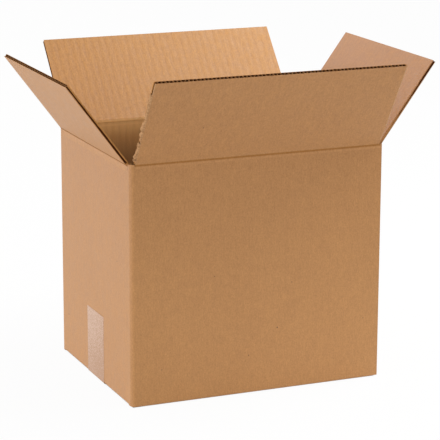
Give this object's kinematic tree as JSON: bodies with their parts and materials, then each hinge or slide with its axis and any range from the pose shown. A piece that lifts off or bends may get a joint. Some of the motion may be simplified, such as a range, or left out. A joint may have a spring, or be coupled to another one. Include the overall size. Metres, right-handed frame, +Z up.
{
  "type": "open cardboard box",
  "caption": "Open corrugated carton with taped bottom flaps, a glued corner joint and top flaps that turn on their creases.",
  "frame": {"origin": "on the floor at the centre of the four walls' footprint", "axes": "+Z up, the front panel faces -Y, the end panel with the tape tail that the picture shows faces -X, and the long panels run along X"},
  "size_m": [0.3875, 0.3257, 0.33],
  "materials": {
    "kraft_board": "matt brown kraft liner with a faint washboard from the flutes",
    "clear_tape": "thin translucent packing tape, slightly hazy and streaked"
  },
  "bodies": {
    "box": {"box_body": "kraft_board", "bottom_tape": "clear_tape"},
    "front": {"front_flap": "kraft_board"},
    "back": {"back_flap": "kraft_board"},
    "left": {"left_flap": "kraft_board"},
    "right": {"right_flap": "kraft_board"}
  },
  "joints": [
    {"name": "front_crease", "type": "hinge", "parent": "box", "child": "front", "pos_m": [0, -0.10175, 0.24325], "axis": [1, 0, 0], "range_deg": [-122, 88]},
    {"name": "back_crease", "type": "hinge", "parent": "box", "child": "back", "pos_m": [0, 0.10175, 0.24325], "axis": [-1, 0, 0], "range_deg": [-130.5, 79.5]},
    {"name": "left_crease", "type": "hinge", "parent": "box", "child": "left", "pos_m": [-0.13175, 0, 0.23925], "axis": [0, -1, 0], "range_deg": [-127, 83]},
    {"name": "right_crease", "type": "hinge", "parent": "box", "child": "right", "pos_m": [0.13175, 0, 0.23925], "axis": [0, 1, 0], "range_deg": [-126.5, 83.5]}
  ]
}
